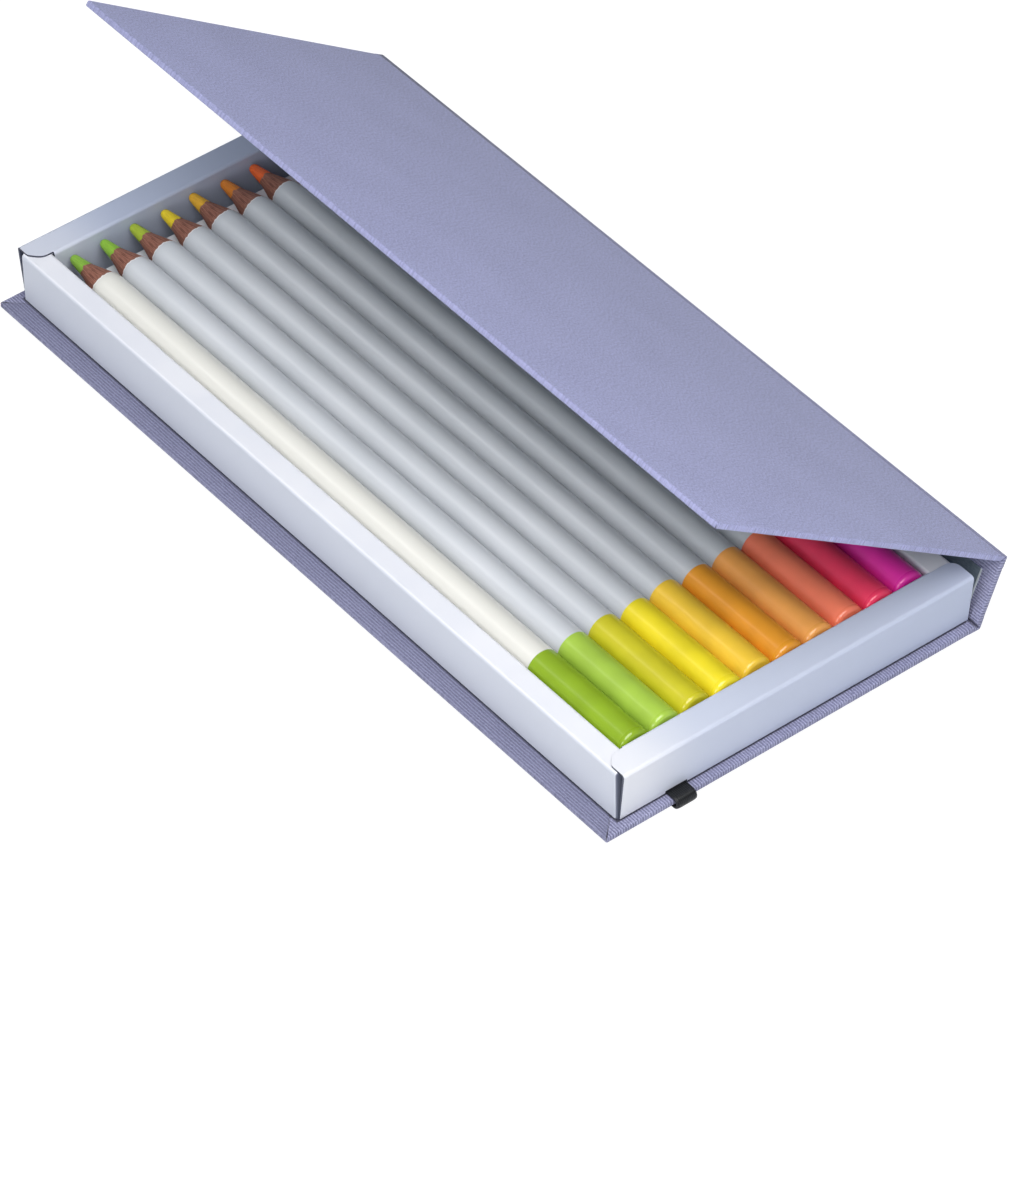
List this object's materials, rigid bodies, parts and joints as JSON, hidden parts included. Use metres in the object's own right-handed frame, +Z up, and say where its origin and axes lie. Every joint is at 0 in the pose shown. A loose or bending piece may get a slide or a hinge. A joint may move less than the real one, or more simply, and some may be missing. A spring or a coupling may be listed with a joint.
{
  "type": "pencil box",
  "caption": "Book-style box with a cloth-covered hinged cover and spine, a folded card tray holding a row of round colour pencils, and an elastic closing band.",
  "frame": {"origin": "centre of the back panel's flat underside", "axes": "+X from the fore-edge to the spine, +Y along the pencils from their butts to their tips, +Z up out of the tray"},
  "size_m": [0.0976, 0.1978, 0.0662],
  "materials": {
    "board": "matte",
    "book_cloth": "matte",
    "lining": "matte",
    "tray_card": "matte",
    "elastic": "matte",
    "barrel_paint": "satin",
    "cap_01": "gloss",
    "core_01": "matte",
    "cap_02": "gloss",
    "core_02": "matte",
    "cap_03": "gloss",
    "core_03": "matte",
    "cap_04": "gloss",
    "core_04": "matte",
    "cap_05": "gloss",
    "core_05": "matte",
    "cap_06": "gloss",
    "core_06": "matte",
    "cap_07": "gloss",
    "core_07": "matte",
    "cap_08": "gloss",
    "core_08": "matte",
    "cap_09": "gloss",
    "core_09": "matte",
    "cap_10": "gloss",
    "core_10": "matte"
  },
  "bodies": {
    "base": {"back_board": "board", "back_cloth": "book_cloth", "tray_floor": "tray_card", "tray_wall_fore": "tray_card", "tray_wall_spine": "tray_card", "tray_wall_near": "tray_card", "tray_wall_far": "tray_card", "pencil_rest": "tray_card", "elastic_band": "elastic"},
    "spine_panel": {"spine_board": "board", "spine_cloth": "book_cloth", "spine_lining": "lining"},
    "front_cover": {"front_board": "board", "front_cloth": "book_cloth", "front_lining": "lining"},
    "pencil_01": {"pencil_01_barrel": "barrel_paint", "pencil_01_core": "core_01", "pencil_01_cap": "cap_01"},
    "pencil_02": {"pencil_02_barrel": "barrel_paint", "pencil_02_core": "core_02", "pencil_02_cap": "cap_02"},
    "pencil_03": {"pencil_03_barrel": "barrel_paint", "pencil_03_core": "core_03", "pencil_03_cap": "cap_03"},
    "pencil_04": {"pencil_04_barrel": "barrel_paint", "pencil_04_core": "core_04", "pencil_04_cap": "cap_04"},
    "pencil_05": {"pencil_05_barrel": "barrel_paint", "pencil_05_core": "core_05", "pencil_05_cap": "cap_05"},
    "pencil_06": {"pencil_06_barrel": "barrel_paint", "pencil_06_core": "core_06", "pencil_06_cap": "cap_06"},
    "pencil_07": {"pencil_07_barrel": "barrel_paint", "pencil_07_core": "core_07", "pencil_07_cap": "cap_07"},
    "pencil_08": {"pencil_08_barrel": "barrel_paint", "pencil_08_core": "core_08", "pencil_08_cap": "cap_08"},
    "pencil_09": {"pencil_09_barrel": "barrel_paint", "pencil_09_core": "core_09", "pencil_09_cap": "cap_09"},
    "pencil_10": {"pencil_10_barrel": "barrel_paint", "pencil_10_core": "core_10", "pencil_10_cap": "cap_10"}
  },
  "joints": [
    {"name": "spine_hinge", "type": "hinge", "parent": "base", "child": "spine_panel", "pos_m": [0.04565, 0, 0], "axis": [0, 1, 0], "range_deg": [-22.6, 67.4]},
    {"name": "cover_hinge", "type": "hinge", "parent": "spine_panel", "child": "front_cover", "pos_m": [0.05195, 0, 0.01514], "axis": [0, 1, 0], "range_deg": [-12.6, 77.4]},
    {"name": "pencil_01_lift", "type": "slide", "parent": "base", "child": "pencil_01", "axis": [0, 0, 1], "range_m": [0, 0.009]},
    {"name": "pencil_02_lift", "type": "slide", "parent": "base", "child": "pencil_02", "axis": [0, 0, 1], "range_m": [0, 0.009]},
    {"name": "pencil_03_lift", "type": "slide", "parent": "base", "child": "pencil_03", "axis": [0, 0, 1], "range_m": [0, 0.009]},
    {"name": "pencil_04_lift", "type": "slide", "parent": "base", "child": "pencil_04", "axis": [0, 0, 1], "range_m": [0, 0.009]},
    {"name": "pencil_05_lift", "type": "slide", "parent": "base", "child": "pencil_05", "axis": [0, 0, 1], "range_m": [0, 0.009]},
    {"name": "pencil_06_lift", "type": "slide", "parent": "base", "child": "pencil_06", "axis": [0, 0, 1], "range_m": [0, 0.009]},
    {"name": "pencil_07_lift", "type": "slide", "parent": "base", "child": "pencil_07", "axis": [0, 0, 1], "range_m": [0, 0.009]},
    {"name": "pencil_08_lift", "type": "slide", "parent": "base", "child": "pencil_08", "axis": [0, 0, 1], "range_m": [0, 0.009]},
    {"name": "pencil_09_lift", "type": "slide", "parent": "base", "child": "pencil_09", "axis": [0, 0, 1], "range_m": [0, 0.009]},
    {"name": "pencil_10_lift", "type": "slide", "parent": "base", "child": "pencil_10", "axis": [0, 0, 1], "range_m": [0, 0.009]}
  ]
}
